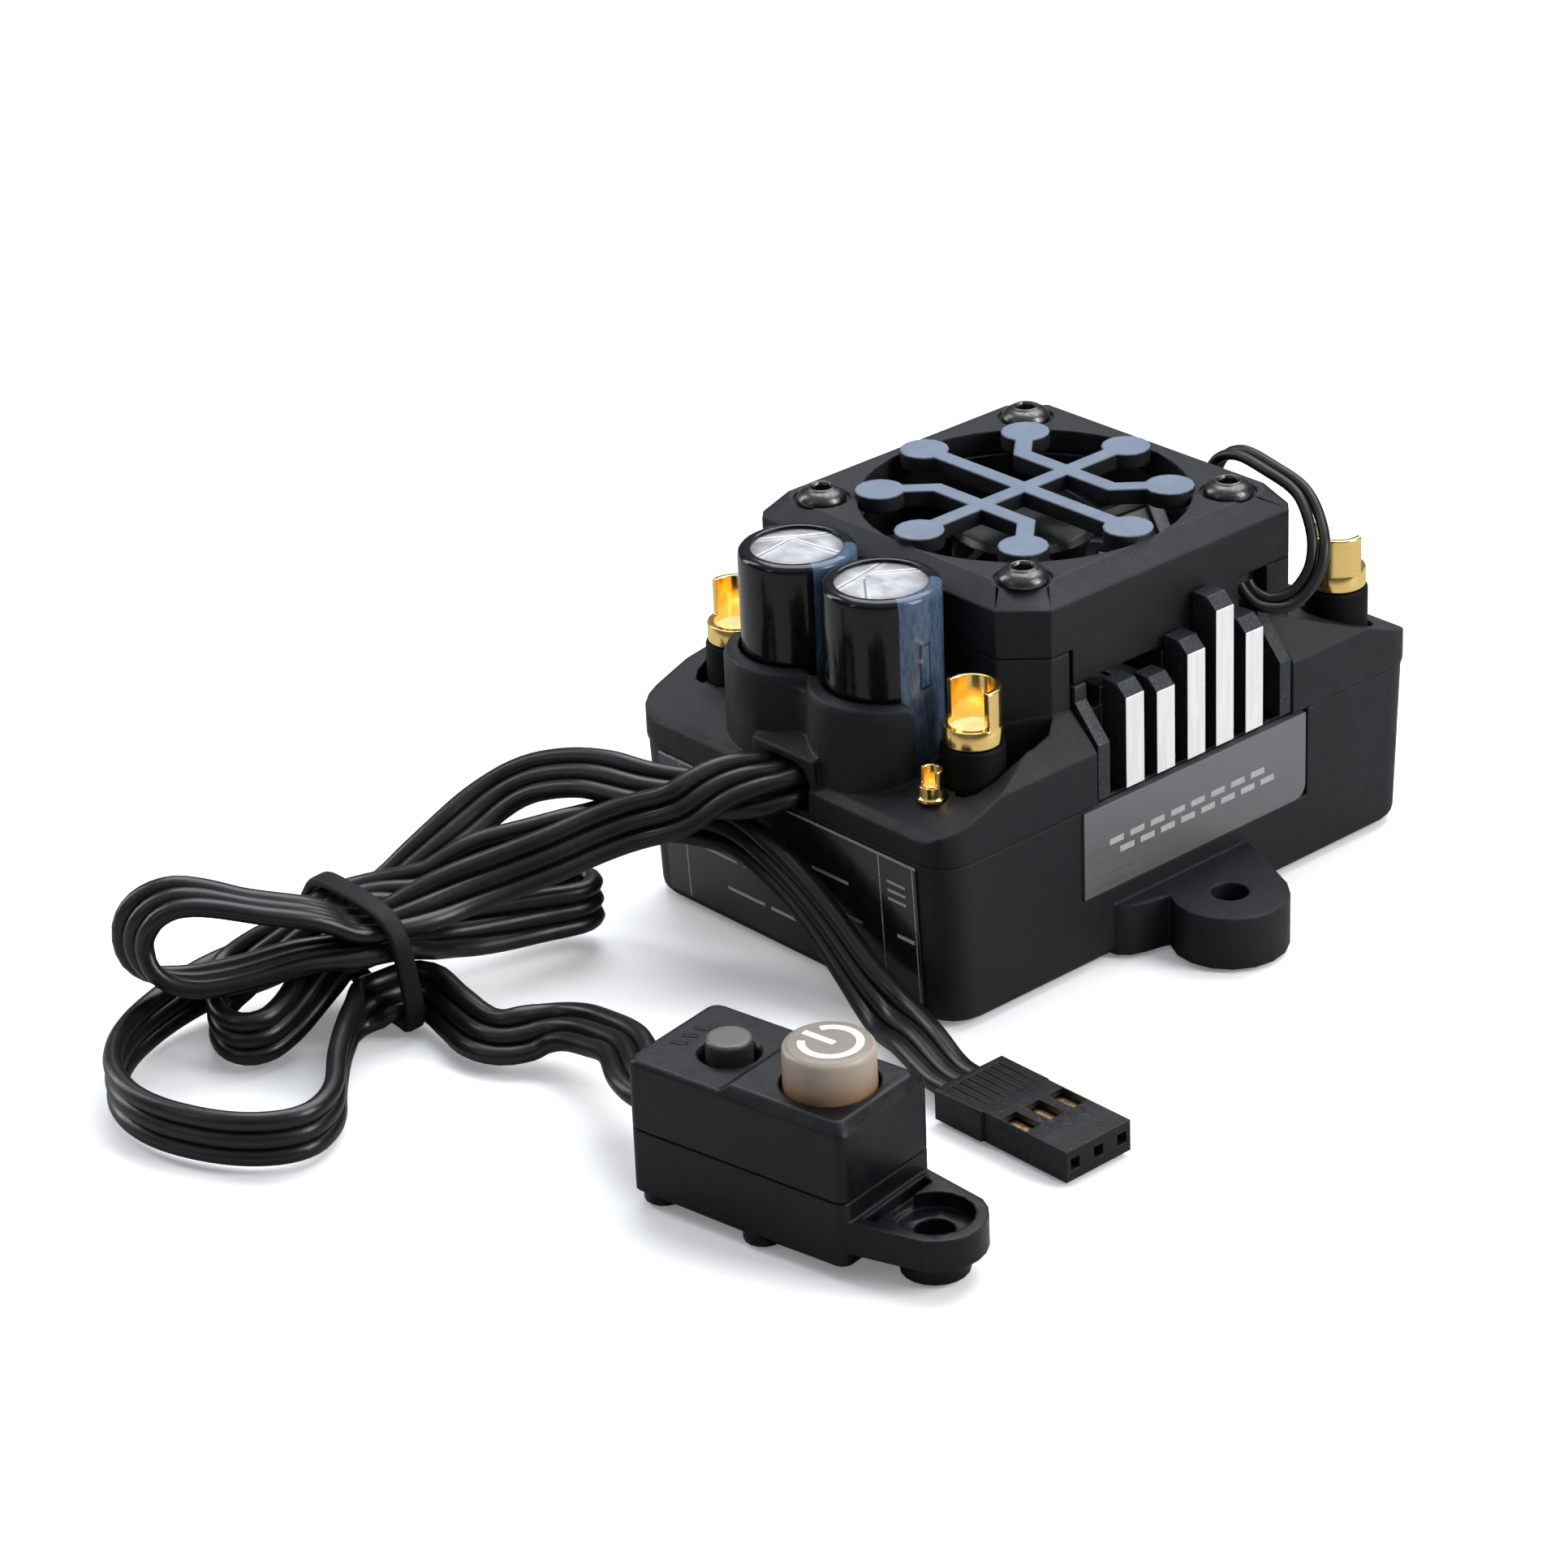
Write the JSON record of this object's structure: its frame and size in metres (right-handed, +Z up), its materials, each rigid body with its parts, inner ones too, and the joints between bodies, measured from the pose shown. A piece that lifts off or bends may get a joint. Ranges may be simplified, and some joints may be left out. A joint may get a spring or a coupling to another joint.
{
  "type": "electronic speed controller",
  "caption": "Finned, fan-cooled brushless speed controller with capacitors and solder posts, a receiver lead and plug, and a remote switch pod on a coiled lead.",
  "frame": {"origin": "centre of the underside of the power case", "axes": "+Z up from the underside, +X towards the side with the badge and the fan wires, -Y towards the end with the capacitors, battery posts and leads, +Y towards the end with the motor posts"},
  "size_m": [0.0765, 0.1123, 0.0343],
  "materials": {
    "case_plastic": "fine-textured charcoal black moulding",
    "fan_plastic": "smooth black moulding",
    "bronze": "sintered bronze",
    "winding": "enamelled copper windings on a core",
    "shaft_steel": "ground steel",
    "fin_metal": "black anodised with bare bright bar faces",
    "pad": "soft thermal pad",
    "board": "solder-masked circuit board",
    "package": "moulded semiconductor package",
    "socket": "pale nylon socket",
    "can": "bare aluminium can with a scored vent",
    "sleeve": "gloss black shrink sleeve with a slate stripe",
    "gold": "bright gold plating",
    "collar": "black insulating collar",
    "black_steel": "black oxide steel",
    "label": "gloss black label with thin pale lines",
    "badge": "satin gunmetal plate",
    "lead": "semi-gloss black insulation",
    "band": "matte black rubber",
    "switch_plastic": "satin black moulding",
    "set_key": "grey-taupe key",
    "power_key": "milky translucent key with a white symbol",
    "plug_plastic": "black plug shell",
    "contact": "gold-plated contact"
  },
  "bodies": {
    "controller": {"battery_collar_left": "collar", "battery_collar_right": "collar", "battery_post_left": "gold", "battery_post_right": "gold", "cable_band": "band", "capacitor_can_left": "can", "capacitor_can_right": "can", "capacitor_sleeve_left": "sleeve", "capacitor_sleeve_right": "sleeve", "case_screw_1": "black_steel", "case_screw_2": "black_steel", "case_screw_3": "black_steel", "case_screw_4": "black_steel", "control_board": "board", "cover_screw_1": "black_steel", "cover_screw_2": "black_steel", "cover_screw_3": "black_steel", "cover_screw_4": "black_steel", "data_post": "gold", "fan_bearing": "bronze", "fan_cover": "case_plastic", "fan_frame": "fan_plastic", "fan_stator": "winding", "fan_wire_1": "lead", "fan_wire_2": "lead", "front_label": "label", "heat_sink": "fin_metal", "lower_case": "case_plastic", "mosfet_1": "package", "mosfet_2": "package", "mosfet_3": "package", "mosfet_4": "package", "mosfet_5": "package", "mosfet_6": "package", "motor_collar_a": "collar", "motor_collar_b": "collar", "motor_collar_c": "collar", "motor_post_a": "gold", "motor_post_b": "gold", "motor_post_c": "gold", "plug_contact_1": "contact", "plug_contact_2": "contact", "plug_contact_3": "contact", "plug_housing": "plug_plastic", "power_board": "board", "power_tact_switch": "package", "receiver_cable": "lead", "sensor_port": "socket", "set_tact_switch": "package", "side_badge": "badge", "switch_board": "board", "switch_cable": "lead", "switch_lower_case": "switch_plastic", "switch_upper_case": "switch_plastic", "thermal_pad": "pad", "upper_case": "case_plastic"},
    "fan_wheel": {"fan_rotor": "fan_plastic", "fan_shaft": "shaft_steel"},
    "set_key": {"set_button": "set_key"},
    "power_key": {"power_button": "power_key"}
  },
  "joints": [
    {"name": "fan_spin", "type": "hinge", "parent": "controller", "child": "fan_wheel", "pos_m": [0, 0, 0.028], "axis": [0, 0, 1], "continuous": true},
    {"name": "set_press", "type": "slide", "parent": "controller", "child": "set_key", "axis": [0, 0, -1], "range_m": [0, 0.0004], "stiffness_N_per_m": 40, "springref_m": -0.002},
    {"name": "power_press", "type": "slide", "parent": "controller", "child": "power_key", "axis": [0, 0, -1], "range_m": [0, 0.0006], "stiffness_N_per_m": 150, "springref_m": -0.002}
  ]
}
